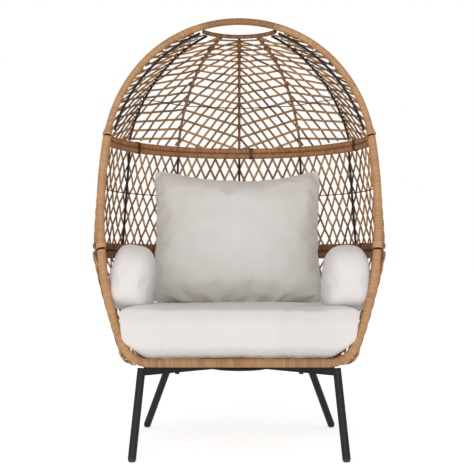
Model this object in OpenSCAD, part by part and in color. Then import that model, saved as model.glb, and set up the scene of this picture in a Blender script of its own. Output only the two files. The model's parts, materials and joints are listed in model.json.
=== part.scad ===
// Standing egg chair: a woven basket in three bolted sections on a four-legged steel base,
// with four loose cushions. Millimetres, +Z up, the open front faces -Y.

/* [Opening] */
// Lean of the front opening back from the vertical, in degrees
opening_lean = 11.5; // [10:0.5:12]
// Height of the front rail's centre above the floor
rail_z = 287; // [284:1:290]
// Distance of the front rail in front of the basket's axis
rail_front = 220; // [216:1:224]
// Radius of the arc over the top of the opening
top_arc_r = 405; // [401:1:409]
// Radius of the shoulder arcs
shoulder_r = 477; // [472:1:482]
// Radius of the long side arcs
side_r = 1690; // [1660:5:1720]
// Radius of the arcs below the waist
lower_side_r = 963; // [955:1:971]
// Radius of the corners beside the front rail
corner_r = 88; // [86:1:90]

/* [Basket] */
// Centre radius of the double hoop at the waist
waist_r = 456; // [452:1:458]
// Height of the joint between the two waist hoops
waist_z = 629; // [625:1:633]
// Centre radius of the double hoop under the dome
upper_r = 428; // [424:1:431]
// Height of the joint between the two upper hoops
upper_z = 989; // [986:1:992]
// Centre radius of the ring at the crown
crown_r = 130; // [126:1:134]
// Height of the crown ring's centre
crown_z = 1336; // [1334:1:1338]
// Centre radius of the floor hoop
floor_r = 330; // [326:1:333]
// Spacing of the ribs round the basket, in degrees
rib_step = 31; // [30.5:0.1:31.5]

/* [Tubes] */
// Wound diameter of the opening's rim below the dome
rim_d = 26.5; // [25:0.5:27]
// Wound diameter of the rim round the dome
dome_rim_d = 22; // [21:0.5:23]
// Diameter of the steel tube inside the wound rims
rim_core_d = 16; // [14:0.5:18]
// Wound diameter of each waist hoop
waist_hoop_d = 25.5; // [24:0.5:26]
// Wound diameter of each upper hoop
upper_hoop_d = 19; // [18:0.5:20]
// Wound diameter of the crown ring
crown_ring_d = 14; // [13:0.5:15]
// Diameter of the steel rod inside the hoops and the crown ring
hoop_core_d = 9; // [8:0.5:10]
// Diameter of the bare black ribs
rib_d = 8; // [7:0.5:8.5]
// Diameter of the wicker wound round the three back ribs of the dome
wound_rib_d = 10; // [9.5:0.5:10.5]
// Diameter of the thin wires halfway up each panel
wire_d = 3; // [2.5:0.5:3.5]
// Thickness of the woven panels
weave_t = 4; // [3:0.5:4.5]

/* [Base] */
// Diameter of the four legs
leg_d = 25; // [24:0.5:26]
// Wall of the leg tubes
leg_wall = 1.5; // [1.2:0.1:2]
// Sideways place of the front feet
front_foot_x = 317; // [310:1:325]
// Sideways place of the rear feet
rear_foot_x = 329; // [322:1:336]
// Centre radius of the hub ring
hub_r = 93.5; // [88:0.5:98]
// Diameter of the hub ring's rod
hub_rod_d = 12; // [11:0.5:13]
// Height of the four arms
arm_h = 30; // [28:1:31]
// Thickness of the four arms
arm_t = 12; // [10:1:14]

/* [Cushions] */
// Height of the seat cushion's top above the floor
seat_top_z = 455; // [450:1:456]
// Width of the back pillow at its top
back_pillow_w = 570; // [550:5:580]
// Height of the back pillow
back_pillow_h = 460; // [445:5:465]
// Thickness of the back pillow
back_pillow_t = 220; // [190:5:230]
// Length of each arm pillow, front to back
arm_pillow_l = 250; // [230:5:260]

/* [Hidden] */

// Smoothness of long arcs and of round sections
arc_fn = 240;
tube_fn = 48;
// Gap left between pieces that lie against each other
touch = 0.3;
// Gap between a woven panel and the hoops that it hangs on
weave_gap = 3;
// Gap left at each end of a bent length of the rim, where it butts against the next one
butt = 0.02;
big = 2000;

steel = [0.16, 0.165, 0.16];
black_rod = [0.08, 0.08, 0.08];
honey = [0.72, 0.54, 0.36];
brown = [0.45, 0.29, 0.17];
strand = [0.58, 0.39, 0.24];
linen = [0.86, 0.84, 0.81];
rubber = [0.1, 0.1, 0.1];

// The outline of the opening, in its own leaning plane, from the middle of the top clockwise
// to the end of the front rail: [radius, angle]. The dome has the first two arcs, the middle
// section the third and the lower section the last two.
rim_arcs = [
  [top_arc_r, 51.8], [shoulder_r, 30.63], [side_r, 12.47], [lower_side_r, 18.3], [corner_r, 66.8]
];
TOP = 0;
SHOULDER = 1;
SIDE = 2;
LOWER_SIDE = 3;
CORNER = 4;
last_arc = len(rim_arcs) - 1;

function rim_heading(i) = i == 0 ? 0 : rim_heading(i - 1) - rim_arcs[i - 1][1];
function right_of(heading) = [sin(heading), -cos(heading)];
function raw_start(i) = i == 0 ? [0, 0] : raw_end(i - 1);
function raw_centre(i) = raw_start(i) + rim_arcs[i][0] * right_of(rim_heading(i));
function raw_end(i) = raw_centre(i) - rim_arcs[i][0] * right_of(rim_heading(i + 1));
// Height of the opening in its plane, and half the length of the straight rail
opening_h = -raw_end(last_arc)[1];
rail_half = raw_end(last_arc)[0];
function rim_centre(i) = raw_centre(i) + [0, opening_h];
function rim_end(i) = raw_end(i) + [0, opening_h];

// Half width of the rim's centre line at height v in its plane
function arc_at(v, i = 0) = i == last_arc || v >= rim_end(i)[1] ? i : arc_at(v, i + 1);
function rim_x(v) = let (i = arc_at(v), c = rim_centre(i), d = v - c[1])
  c[0] + sqrt(max(0, pow(rim_arcs[i][0], 2) - d * d));
function plane_v(z) = (z - rail_z) / cos(opening_lean);
function rim_y(z) = -rail_front + (z - rail_z) * tan(opening_lean);

// Feet and leg tops, and the base that they carry
rear_foot_y = 331;
front_foot_y = -269;
foot_z = 9.5;
front_leg_top = [295, -205, 269.5];
rear_leg_top = [230, 229, 270];
hub_y = 50;
arm_top = 277.5;
arm_low = arm_top - arm_h;
hub_z = arm_low + 1;
leg_tops = [front_leg_top, rear_leg_top];
leg_feet = [[front_foot_x, front_foot_y, foot_z], [rear_foot_x, rear_foot_y, foot_z]];

// The basket's axis lies in front of the middle of the whole chair, so that the origin is
// under the middle of its box.
chair_back = waist_r + waist_hoop_d / 2;
chair_front = -front_foot_y + leg_d / 2;
axis_y = (chair_front - chair_back) / 2;

// Floor of the basket
floor_yc = -66;
floor_z = arm_top + touch + 7;
floor_rod_d = 14;
floor_weave_z = floor_z + floor_rod_d / 2 + touch;
floor_cut_y = -rail_front + rim_d / 2 + 1;
bolt_front_out = 255;
bolt_rear_out = 205;
bolt_d = 8;
bolt_hole_d = 8.6;

// Hoops: heights of their centre lines
waist_low_z = waist_z - waist_hoop_d / 2;
waist_high_z = waist_z + waist_hoop_d / 2;
upper_low_z = upper_z - upper_hoop_d / 2;
upper_high_z = upper_z + upper_hoop_d / 2;

// Lower wall: radius, centre and height of its rings, from the waist (s = 0) to the corner (s = 1)
wall_top_z = waist_low_z - waist_hoop_d / 2 - touch;
wall_low_z = 312;
wall_low_r = 366;
wall_low_yc = -75;
wall_bulge = 5;
function wall_r(s) = waist_r + (wall_low_r - waist_r) * s + 4 * wall_bulge * s * (1 - s);
function wall_yc(s) = wall_low_yc * s;
function wall_z(s) = wall_top_z + (wall_low_z - wall_top_z) * s;
// The corner turns the wall in to the floor hoop
turn_in_r = 341.5;
turn_in_z = 288;
turn_bulge = 7;

// Dome ribs: [angle at the hoop, angle at the crown ring, bulge]
crown_yc = 70 - crown_r;
dome_base_z = upper_high_z + upper_hoop_d / 2 + 1.5;
crown_gap = 7.4 + crown_ring_d / 2;
function hoop_point(r, yc, a, z) = [r * sin(a), yc + r * cos(a), z];
DOME_RIBS = [[0, 0, 70], [1, 26, 66], [2, 48, 58]];
// The side ribs stand on the inner edge of the rim
side_rib_start = [396, -55, 1010];
side_rib_end = [127, 6, 1332];
side_rib_bulge = 45;
function dome_rib_start(k) = k == 3 ? side_rib_start
  : hoop_point(upper_r, 0, k * rib_step, dome_base_z);
function dome_rib_end(k) = k == 3 ? side_rib_end
  : hoop_point(crown_r + 0.9 * crown_gap, crown_yc, DOME_RIBS[k][1], crown_z - 0.4 * crown_gap);
function dome_rib_bulge(k) = k == 3 ? side_rib_bulge : DOME_RIBS[k][2];

function unit(v) = v / norm(v);
// Outward direction square to the chord a-b, in the upright plane that holds it
function bulge_dir(a, b) = let (c = unit(b - a), h = unit([a[0] - b[0], a[1] - b[1], 0]))
  unit(h * c[2] + [0, 0, norm([c[0], c[1]])]);
function bow_r(a, b, bulge) = (pow(norm(b - a), 2) / 4 + bulge * bulge) / (2 * bulge);
function bow_half(a, b, bulge) = asin(norm(b - a) / 2 / bow_r(a, b, bulge));
function mirror_x(p, side) = [side * p[0], p[1], p[2]];
// Point on a bowed rod, t from 0 at a to 1 at b
function bow_point(a, b, bulge, t) =
  let (r = bow_r(a, b, bulge), half = bow_half(a, b, bulge), w = half * (2 * t - 1))
  (a + b) / 2 + r * sin(w) * unit(b - a) + (r * cos(w) - r * cos(half)) * bulge_dir(a, b);

// ---- general shapes ----

module tube_profile(outer, inner) {
  difference() {
    circle(d = outer, $fn = tube_fn);
    if (inner > 0) circle(d = inner, $fn = tube_fn);
  }
}

// Level arc about the Z axis, centred on the back (+Y)
module level_arc(radius, half, outer, inner = 0) {
  rotate([0, 0, 90 - half])
    rotate_extrude(angle = 2 * half, $fn = arc_fn)
      translate([radius, 0]) tube_profile(outer, inner);
}

// Rod from a to b that bows outward by bulge in its upright plane, and can run on past b
module bowed_rod(a, b, bulge, outer, inner = 0, past = 0) {
  c = unit(b - a);
  n = bulge_dir(a, b);
  s = cross(c, n);
  r = bow_r(a, b, bulge);
  half = bow_half(a, b, bulge);
  o = (a + b) / 2 - r * cos(half) * n;
  more = past / r * 180 / PI;
  multmatrix([
    [c[0], n[0], s[0], o[0]], [c[1], n[1], s[1], o[1]], [c[2], n[2], s[2], o[2]], [0, 0, 0, 1]
  ])
    rotate([0, 0, 90 - half - more])
      rotate_extrude(angle = 2 * half + more, $fn = arc_fn)
        translate([r, 0]) tube_profile(outer, inner);
}
// Direction in which a bowed rod arrives at b
function arrival(a, b, bulge) = let (half = bow_half(a, b, bulge))
  cos(half) * unit(b - a) - sin(half) * bulge_dir(a, b);

// What is left of the children behind the plane at p whose normal is n
module cut_at(p, n) {
  difference() {
    children();
    translate(p) rotate([0, acos(n[2]), atan2(n[1], n[0])])
      translate([0, 0, 50 - butt / 2]) cube(100, center = true);
  }
}

// Straight rod from a to b
module rod(a, b, d) {
  v = b - a;
  translate(a)
    rotate([0, acos(v[2] / norm(v)), atan2(v[1], v[0])])
      cylinder(h = norm(v), d = d, $fn = tube_fn);
}

module in_chair() {
  translate([0, axis_y, 0]) children();
}

// Plane of the opening: X across, Y up along the lean
module on_opening() {
  translate([0, -rail_front, rail_z]) rotate([90 - opening_lean, 0, 0]) children();
}

// One arc of the rim, on the right (side = 1) or the left (side = -1). Its lower part
// alone can be drawn, by giving the angle that it turns through.
module rim_arc(i, side, outer, inner, turn = 0) {
  c = rim_centre(i);
  trim = butt / rim_arcs[i][0] * 180 / PI;
  full = turn > 0 ? turn : rim_arcs[i][1];
  mirror([side < 0 ? 1 : 0, 0, 0])
    translate([c[0], c[1], 0])
      rotate([0, 0, 90 + rim_heading(i + 1) + trim])
        rotate_extrude(angle = full - 2 * trim, $fn = arc_fn)
          translate([rim_arcs[i][0], 0]) tube_profile(outer, inner);
}

module dome_rim(outer, inner) {
  in_chair() on_opening() {
    translate([0, rim_centre(TOP)[1], 0])
      level_arc(top_arc_r, rim_arcs[TOP][1] - butt / top_arc_r * 180 / PI, outer, inner);
    for (side = [-1, 1]) rim_arc(SHOULDER, side, outer, inner);
  }
}

module middle_rim(side, outer, inner) {
  in_chair() on_opening() rim_arc(SIDE, side, outer, inner);
}

module lower_rim(outer, inner) {
  in_chair() on_opening() {
    for (side = [-1, 1], i = [LOWER_SIDE, CORNER]) rim_arc(i, side, outer, inner);
    translate([butt - rail_half, 0, 0]) rotate([0, 90, 0])
      linear_extrude(2 * (rail_half - butt)) tube_profile(outer, inner);
  }
}

// Hoop that ends where it meets the back of the rim
function rim_polar(z) = atan2(rim_x(plane_v(z)), rim_y(z));
module hoop(radius, z, outer, inner = 0) {
  stand_off = rim_d / 2 + binding_t + 4;
  half = rim_polar(z) - stand_off / radius * 180 / PI;
  in_chair() translate([0, 0, z]) level_arc(radius, half, outer, inner);
}

// Closed shell between two matching grids of points, inner and outer
module shell(inner, outer) {
  rows = len(inner);
  cols = len(inner[0]);
  count = rows * cols;
  pts = [for (g = [inner, outer], r = [0:rows - 1], c = [0:cols - 1]) g[r][c]];
  function at(layer, r, c) = layer * count + r * cols + c;
  function quad(a, b, c, d) = [[a, b, c], [a, c, d]];
  faces = concat(
    [for (r = [0:rows - 2], c = [0:cols - 2])
      each quad(at(0, r, c), at(0, r, c + 1), at(0, r + 1, c + 1), at(0, r + 1, c))],
    [for (r = [0:rows - 2], c = [0:cols - 2])
      each quad(at(1, r, c), at(1, r + 1, c), at(1, r + 1, c + 1), at(1, r, c + 1))],
    [for (c = [0:cols - 2]) each quad(at(0, 0, c), at(1, 0, c), at(1, 0, c + 1), at(0, 0, c + 1))],
    [for (c = [0:cols - 2])
      each quad(at(0, rows - 1, c), at(0, rows - 1, c + 1), at(1, rows - 1, c + 1), at(1, rows - 1, c))],
    [for (r = [0:rows - 2]) each quad(at(0, r, 0), at(0, r + 1, 0), at(1, r + 1, 0), at(1, r, 0))],
    [for (r = [0:rows - 2])
      each quad(at(0, r, cols - 1), at(1, r, cols - 1), at(1, r + 1, cols - 1), at(0, r + 1, cols - 1))]
  );
  polyhedron(points = pts, faces = faces, convexity = 6);
}

// ---- base ----

module hub_ring() color(steel)
  in_chair() translate([0, hub_y, hub_z])
    rotate_extrude($fn = arc_fn) translate([hub_r, 0]) circle(d = hub_rod_d, $fn = tube_fn);

// Place on an arm at the given distance from the hub's centre
function arm_dir(row) = unit([leg_tops[row][0], leg_tops[row][1] - hub_y]);
function on_arm(row, side, out) = [side * arm_dir(row)[0] * out, hub_y + arm_dir(row)[1] * out];
bolt_outs = [bolt_front_out, bolt_rear_out];

// A leg, or with past the bore through it, which runs on past both ends
module leg_body(row, side, d, past = 0) {
  foot = mirror_x(leg_feet[row], side);
  top = mirror_x(leg_tops[row], side);
  rod(foot - past * (top - foot), top + past * (top - foot), d);
}

module arm(row, side) color(steel)
  in_chair() mirror([side > 0 ? 1 : 0, 0, 0]) difference() {
    reach = norm([leg_tops[row][0], leg_tops[row][1] - hub_y]) - leg_d / 2 + 8;
    inner_end = hub_r - 8;
    turn = atan2(arm_dir(row)[1], -arm_dir(row)[0]);
    translate([0, hub_y, arm_low]) rotate([0, 0, turn])
      translate([inner_end, -arm_t / 2, 0]) cube([reach - inner_end, arm_t, arm_h]);
    translate([0, hub_y, hub_z]) rotate_extrude($fn = arc_fn)
      translate([hub_r, 0]) circle(d = hub_rod_d + touch, $fn = tube_fn);
    leg_clearance(row);
    translate(concat(on_arm(row, -1, bolt_outs[row]), arm_low - 1))
      cylinder(h = arm_h + 2, d = bolt_hole_d, $fn = tube_fn);
  }
// Space for the left leg of a row
module leg_clearance(row) {
  foot = mirror_x(leg_feet[row], -1);
  top = mirror_x(leg_tops[row], -1);
  rod(foot, top + 0.2 * (top - foot), leg_d + touch);
}
module arm_front_left() arm(0, -1);
module arm_front_right() arm(0, 1);
module arm_rear_left() arm(1, -1);
module arm_rear_right() arm(1, 1);

module leg(row, side) color(steel)
  in_chair() difference() {
    leg_body(row, side, leg_d);
    leg_body(row, side, leg_d - 2 * leg_wall, 0.05);
  }
module leg_front_left() leg(0, -1);
module leg_front_right() leg(0, 1);
module leg_rear_left() leg(1, -1);
module leg_rear_right() leg(1, 1);

// Round end cap with a flat under it and a plug up inside the leg
plug_l = 22;
module foot_cap(row, side) {
  foot = mirror_x(leg_feet[row], side);
  axis = unit(mirror_x(leg_tops[row], side) - foot);
  tilt = acos(axis[2]);
  turn = atan2(axis[1], axis[0]);
  difference() {
    translate(foot) sphere(d = leg_d, $fn = 64);
    translate([foot[0], foot[1], -big / 2]) cube([big, big, big], center = true);
    translate(foot) rotate([0, tilt, turn])
      translate([0, 0, big / 2 - touch]) cube([big, big, big], center = true);
  }
  translate(foot) rotate([0, tilt, turn]) translate([0, 0, -1])
    cylinder(h = plug_l, d = leg_d - 2 * leg_wall - touch, $fn = tube_fn);
}
module foot_caps() color(rubber)
  in_chair() for (row = [0, 1], side = [-1, 1]) foot_cap(row, side);

module at_bolts() {
  for (row = [0, 1], side = [-1, 1])
    translate(concat(on_arm(row, side, bolt_outs[row]), 0)) children();
}
bolt_top = floor_weave_z + weave_t + 3.5;
module base_bolts() color(black_rod)
  in_chair() at_bolts() {
    translate([0, 0, arm_low - touch - 5]) cylinder(h = 5, d = 14, $fn = tube_fn);
    translate([0, 0, arm_low - touch - 1]) cylinder(h = bolt_top - arm_low, d = bolt_d, $fn = tube_fn);
  }
module base_nuts() color(black_rod)
  in_chair() at_bolts()
    translate([0, 0, floor_weave_z + weave_t + touch]) difference() {
      cylinder(h = 3, d = 15, $fn = 6);
      translate([0, 0, -1]) cylinder(h = 5, d = bolt_d + 0.2, $fn = tube_fn);
    }

// ---- floor of the basket ----

floor_half = acos((floor_cut_y + floor_rod_d / 2 - floor_yc) / floor_r);
module floor_hoop() color(black_rod)
  in_chair() translate([0, floor_yc, floor_z]) level_arc(floor_r, floor_half, floor_rod_d);

module floor_bar(row) color(black_rod)
  in_chair() {
    y = on_arm(row, 1, bolt_outs[row])[1];
    inside = floor_r - floor_rod_d / 2 - touch;
    half = sqrt(pow(inside, 2) - pow(abs(y - floor_yc) + floor_rod_d / 2, 2));
    difference() {
      rod([-half, y, floor_z], [half, y, floor_z], floor_rod_d);
      at_bolts() translate([0, 0, floor_z - 20]) cylinder(h = 40, d = bolt_hole_d, $fn = tube_fn);
    }
  }
module floor_bar_front() floor_bar(0);
module floor_bar_rear() floor_bar(1);

module floor_weave() color(strand)
  in_chair() difference() {
    translate([0, floor_yc, floor_weave_z]) cylinder(h = weave_t, r = floor_r - 5, $fn = arc_fn);
    translate([-big / 2, floor_cut_y - big, 0]) cube([big, big, big]);
    at_bolts() cylinder(h = big / 2, d = bolt_hole_d, $fn = tube_fn);
  }

// ---- lower section ----

module lower_rim_tube() color(steel) lower_rim(rim_core_d, rim_core_d - 3);
module lower_rim_winding() color(honey) lower_rim(rim_d, rim_core_d);
module lower_hoop_rod() color(steel) hoop(waist_r, waist_low_z, hoop_core_d);
module lower_hoop_winding() color(brown) hoop(waist_r, waist_low_z, waist_hoop_d, hoop_core_d);

module lower_ribs() color(black_rod)
  in_chair() for (k = [-3:3]) {
    a = k * rib_step;
    top = hoop_point(waist_r, 0, a, wall_top_z - 1.5);
    corner = hoop_point(wall_low_r, wall_low_yc, a, wall_low_z);
    low = hoop_point(turn_in_r, floor_yc, a, turn_in_z);
    mitre = unit(arrival(top, corner, wall_bulge) - arrival(low, corner, turn_bulge));
    cut_at(corner, mitre) bowed_rod(top, corner, wall_bulge, rib_d, 0, rib_d);
    cut_at(corner, -mitre) bowed_rod(low, corner, turn_bulge, rib_d, 0, rib_d);
  }

// Rows of the lower shell: [radius, centre, height, outward, downward part of the offset]
wall_rows = 7;
turn_rows = 3;
lower_rows = concat(
  [for (i = [0:wall_rows]) let (s = max(i / wall_rows, weave_gap / (wall_top_z - wall_low_z)))
    [wall_r(s), wall_yc(s), wall_z(s), 1, 0]],
  [for (i = [1:turn_rows]) let (q = 90 * i / turn_rows)
    [turn_in_r + (wall_low_r - turn_in_r) * cos(q),
     wall_low_yc + (floor_yc - wall_low_yc) * i / turn_rows,
     wall_low_z - (wall_low_z - turn_in_z) * sin(q), cos(0.8 * q), sin(0.8 * q)]]
);
lower_cols = 40;
front_gap = rim_d / 2 + 4;
function lower_row(row, offset) =
  let (
    r = row[0] + offset * row[3],
    z = row[2] - offset * row[4],
    half = acos((rim_y(row[2]) + front_gap - row[1]) / r)
  )
  [for (c = [0:lower_cols]) hoop_point(r, row[1], half * (2 * c / lower_cols - 1), z)];
weave_in = rib_d / 2 + 1.4;
module lower_weave() color(strand)
  in_chair() shell(
    [for (row = lower_rows) lower_row(row, weave_in)],
    [for (row = lower_rows) lower_row(row, weave_in + weave_t)]
  );

// ---- middle section ----

module middle_rim_tube_left() color(steel) middle_rim(-1, rim_core_d, rim_core_d - 3);
module middle_rim_tube_right() color(steel) middle_rim(1, rim_core_d, rim_core_d - 3);
module middle_rim_winding_left() color(honey) middle_rim(-1, rim_d, rim_core_d);
module middle_rim_winding_right() color(honey) middle_rim(1, rim_d, rim_core_d);
module middle_low_hoop_rod() color(steel) hoop(waist_r, waist_high_z, hoop_core_d);
module middle_low_hoop_winding() color(brown) hoop(waist_r, waist_high_z, waist_hoop_d, hoop_core_d);
module middle_high_hoop_rod() color(steel) hoop(upper_r, upper_low_z, hoop_core_d);
module middle_high_hoop_winding() color(brown) hoop(upper_r, upper_low_z, upper_hoop_d, hoop_core_d);

middle_low = waist_high_z + waist_hoop_d / 2 + touch;
middle_high = upper_low_z - upper_hoop_d / 2 - touch;
function middle_r(z) = waist_r + (upper_r - waist_r) * (z - middle_low) / (middle_high - middle_low);
module middle_ribs() color(black_rod)
  in_chair() for (k = [-3:3])
    rod(hoop_point(waist_r, 0, k * rib_step, middle_low),
        hoop_point(upper_r, 0, k * rib_step, middle_high), rib_d);

middle_wire_z = 828;
module middle_wire() color(black_rod)
  hoop(middle_r(middle_wire_z) - rib_d / 2 - wire_d / 2 - touch, middle_wire_z, wire_d);

middle_rows = 6;
middle_cols = 44;
middle_bulge = 3;
function middle_row(i, offset) =
  let (
    s = i / middle_rows,
    z = middle_low + weave_gap + (middle_high - middle_low - 2 * weave_gap) * s,
    r = middle_r(z) + offset + 4 * middle_bulge * s * (1 - s),
    half = acos((rim_y(z) + front_gap) / r)
  )
  [for (c = [0:middle_cols]) hoop_point(r, 0, half * (2 * c / middle_cols - 1), z)];
module middle_weave() color(strand)
  in_chair() shell(
    [for (i = [0:middle_rows]) middle_row(middle_rows - i, weave_in)],
    [for (i = [0:middle_rows]) middle_row(middle_rows - i, weave_in + weave_t)]
  );

// ---- dome ----

module dome_rim_tube() color(steel) dome_rim(rim_core_d, rim_core_d - 3);
module dome_rim_winding() color(honey) dome_rim(dome_rim_d, rim_core_d);
module dome_hoop_rod() color(steel) hoop(upper_r, upper_high_z, hoop_core_d);
module dome_hoop_winding() color(brown) hoop(upper_r, upper_high_z, upper_hoop_d, hoop_core_d);

crown_half = 59;
module crown_ring(outer, inner = 0) {
  in_chair() translate([0, crown_yc, crown_z]) level_arc(crown_r, crown_half, outer, inner);
}
module crown_ring_rod() color(steel) crown_ring(hoop_core_d - 2);
module crown_ring_winding() color(brown) crown_ring(crown_ring_d, hoop_core_d - 2);

module dome_rib(k, side, outer, inner = 0) {
  in_chair() bowed_rod(mirror_x(dome_rib_start(k), side), mirror_x(dome_rib_end(k), side),
    dome_rib_bulge(k), outer, inner);
}
wound_rod_d = 6;
module dome_ribs_bare() color(black_rod)
  for (side = [-1, 1], k = [2, 3]) dome_rib(k, side, rib_d);
module wound_ribs(outer, inner) {
  dome_rib(0, 1, outer, inner);
  for (side = [-1, 1]) dome_rib(1, side, outer, inner);
}
module dome_ribs_wound_rods() color(steel) wound_ribs(wound_rod_d, 0);
module dome_rib_windings() color(brown) wound_ribs(wound_rib_d, wound_rod_d);

// Straight wires from rib to rib at one height
dome_wire_z = 1146;
function dome_rib_point(k, t) = bow_point(dome_rib_start(k), dome_rib_end(k), dome_rib_bulge(k), t);
function dome_rib_at(k, z, low = 0, high = 1, steps = 24) = let (t = (low + high) / 2)
  steps == 0 ? dome_rib_point(k, t)
  : dome_rib_point(k, t)[2] < z ? dome_rib_at(k, z, t, high, steps - 1)
  : dome_rib_at(k, z, low, t, steps - 1);
wire_ends = [for (k = [0:3]) dome_rib_at(k, dome_wire_z)];
wire_cuts = [wound_rib_d, wound_rib_d, rib_d, rib_d] / 2;
module dome_wire() color(black_rod)
  in_chair() for (side = [-1, 1], k = [0:2]) {
    a = mirror_x(wire_ends[k], side);
    b = mirror_x(wire_ends[k + 1], side);
    along = unit(b - a);
    rod(a + (wire_cuts[k] + touch) * along, b - (wire_cuts[k + 1] + touch) * along, wire_d);
  }

// The dome's panels are straight from rib to rib. Its grid has one column on each back rib, one
// outside each side rib and one just behind the rim.
dome_rows = 14;
dome_middle = [0, 30, 980];
side_panel_start = hoop_point(upper_r, 0, 90, dome_base_z);
side_panel_bulge = 51;
function side_panel(t) = bow_point(side_panel_start, side_rib_end, side_panel_bulge, t);
dome_in = wound_rib_d / 2 + 1.4;
function dome_out(p, offset) = p + offset * unit(p - dome_middle);
function behind_rim(t) = let (z = side_panel(t)[2], v = plane_v(z), back = dome_rim_d / 2 + weave_t)
  [rim_x(v) - 3, rim_y(z) + back * cos(opening_lean), z - back * sin(opening_lean)];
function dome_col(k, t) = let (n = abs(k))
  mirror_x(n == 4 ? behind_rim(t) : n == 3 ? side_panel(t) : dome_rib_point(n, t), k < 0 ? -1 : 1);
weave_start = 0.012;
function dome_t(i) = weave_start + (1 - weave_start) * i / dome_rows;
function dome_grid(offset) = [for (i = [dome_rows:-1:0])
  [for (k = [-4:4]) let (p = dome_col(k, dome_t(i))) abs(k) == 4 ? p + [0, 0, offset - dome_in]
    : dome_out(p, offset)]];
module dome_weave() color(strand)
  in_chair() shell(dome_grid(dome_in), dome_grid(dome_in + weave_t));

// ---- joints between the sections ----

pin_d = 11;
pin_half = 24;
// Pins in the rim tubes across each seam, along the rim's direction there
module seam_pins() color(black_rod)
  in_chair() on_opening() for (side = [-1, 1], i = [SHOULDER, SIDE])
    mirror([side < 0 ? 1 : 0, 0, 0])
      translate([rim_end(i)[0], rim_end(i)[1], 0])
        rotate([0, 0, rim_heading(i + 1)]) rotate([0, 90, 0])
          cylinder(h = 2 * pin_half, d = pin_d, center = true, $fn = tube_fn);

// Wicker bound over the foot of the dome's rim, and round the rim between the waist hoops
upper_binding_turn = 2.5;
module upper_bindings() color(honey)
  in_chair() on_opening() for (side = [-1, 1])
    rim_arc(SHOULDER, side, rim_d, dome_rim_d + 0.2, upper_binding_turn);
binding_t = 2;
waist_binding_turn = 0.9;
module waist_bindings() color(honey)
  in_chair() on_opening() for (side = [-1, 1])
    rim_arc(SIDE, side, rim_d + 2 * binding_t, rim_d + 0.2, waist_binding_turn);

clip_t = 1.5;
clip_w = 14;
CLIP_ANGLES = [-2 * rib_step, 0, 2 * rib_step];
// Flat steel strap round both hoops of a double hoop
module hoop_clip(radius, z, hoop_d, a) {
  translate([0, 0, z]) rotate([0, 0, 90 - a]) translate([radius, clip_w / 2, 0])
    rotate([90, 0, 0]) linear_extrude(clip_w) difference() {
      clip_outline(hoop_d, hoop_d / 2 + clip_t + touch);
      clip_outline(hoop_d, hoop_d / 2 + touch);
    }
}
// Outline round two touching circles, one above the other, at distance r from their centres
module clip_outline(hoop_d, r) {
  square([2 * r, hoop_d], center = true);
  for (side = [-1, 1]) translate([0, side * hoop_d / 2]) circle(r = r, $fn = tube_fn);
}
module upper_hoop_clips() color(black_rod)
  in_chair() for (a = CLIP_ANGLES) hoop_clip(upper_r, upper_z, upper_hoop_d, a + 6);
module waist_hoop_clips() color(black_rod)
  in_chair() for (a = CLIP_ANGLES) hoop_clip(waist_r, waist_z, waist_hoop_d, a + 6);

// ---- cushions ----

seat_front = -215;
seat_low_z = rail_z + rim_d / 2 + 1.3;
// Half width, height and centre of the rounded back of each level of the seat cushion
seat_levels = [
  [278, seat_low_z, -66], [335, 352, -62], [362, 440, -44], [346, seat_top_z - 0.1, -44]
];
module seat_level(half, yc) {
  translate([0, yc]) circle(r = half, $fn = 64);
  translate([-half, seat_front]) square([2 * half, yc - seat_front]);
}
module seat_cushion() color(linen)
  in_chair() hull() for (level = seat_levels)
    translate([0, 0, level[1]]) linear_extrude(0.1) difference() {
      seat_level(level[0], level[2]);
      translate([-big / 2, seat_front - big]) square([big, big]);
    }

// Pillow standing in the XZ plane, thickest in the middle, its sides drawn in between the
// corners, and narrower towards its lower edge
pillow_n = 18;
pillow_edge = 4;
function pillow_point(w, h, t, draw_in, low, face, i, j) =
  let (
    u = sin(90 * (2 * i / pillow_n - 1)),
    v = sin(90 * (2 * j / pillow_n - 1)),
    swell = pow(1 - pow(abs(u), 3), 0.5) * pow(1 - pow(abs(v), 3), 0.5),
    narrow = 1 - low * (1 - v) / 2
  )
  [u * w / 2 * narrow * (1 - draw_in * (1 - v * v)),
   face * (pillow_edge / 2 + swell * (t - pillow_edge) / 2),
   v * h / 2 * (1 - draw_in * (1 - u * u))];
module pillow(w, h, t, draw_in, low) {
  grid = function (face) [for (j = [0:pillow_n])
    [for (i = [0:pillow_n]) pillow_point(w, h, t, draw_in, low, face, i, j)]];
  shell(grid(-1), grid(1));
}
back_pillow_at = [0, 240, 692];
back_pillow_lean = 12;
module back_pillow() color(linen)
  in_chair() translate(back_pillow_at) rotate([-back_pillow_lean, 0, 0])
    pillow(back_pillow_w, back_pillow_h, back_pillow_t, 0.08, 0.14);

arm_pillow_at = [328, -65, 552];
arm_pillow_w = 132;
arm_pillow_h = 188;
arm_pillow_lean = 8;
module arm_pillow(side) color(linen)
  in_chair() translate(mirror_x(arm_pillow_at, side)) rotate([0, side * arm_pillow_lean, 0])
    rotate([0, 0, 90]) pillow(arm_pillow_l, arm_pillow_h, arm_pillow_w, 0.03, 0);
module arm_pillow_left() arm_pillow(-1);
module arm_pillow_right() arm_pillow(1);

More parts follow.
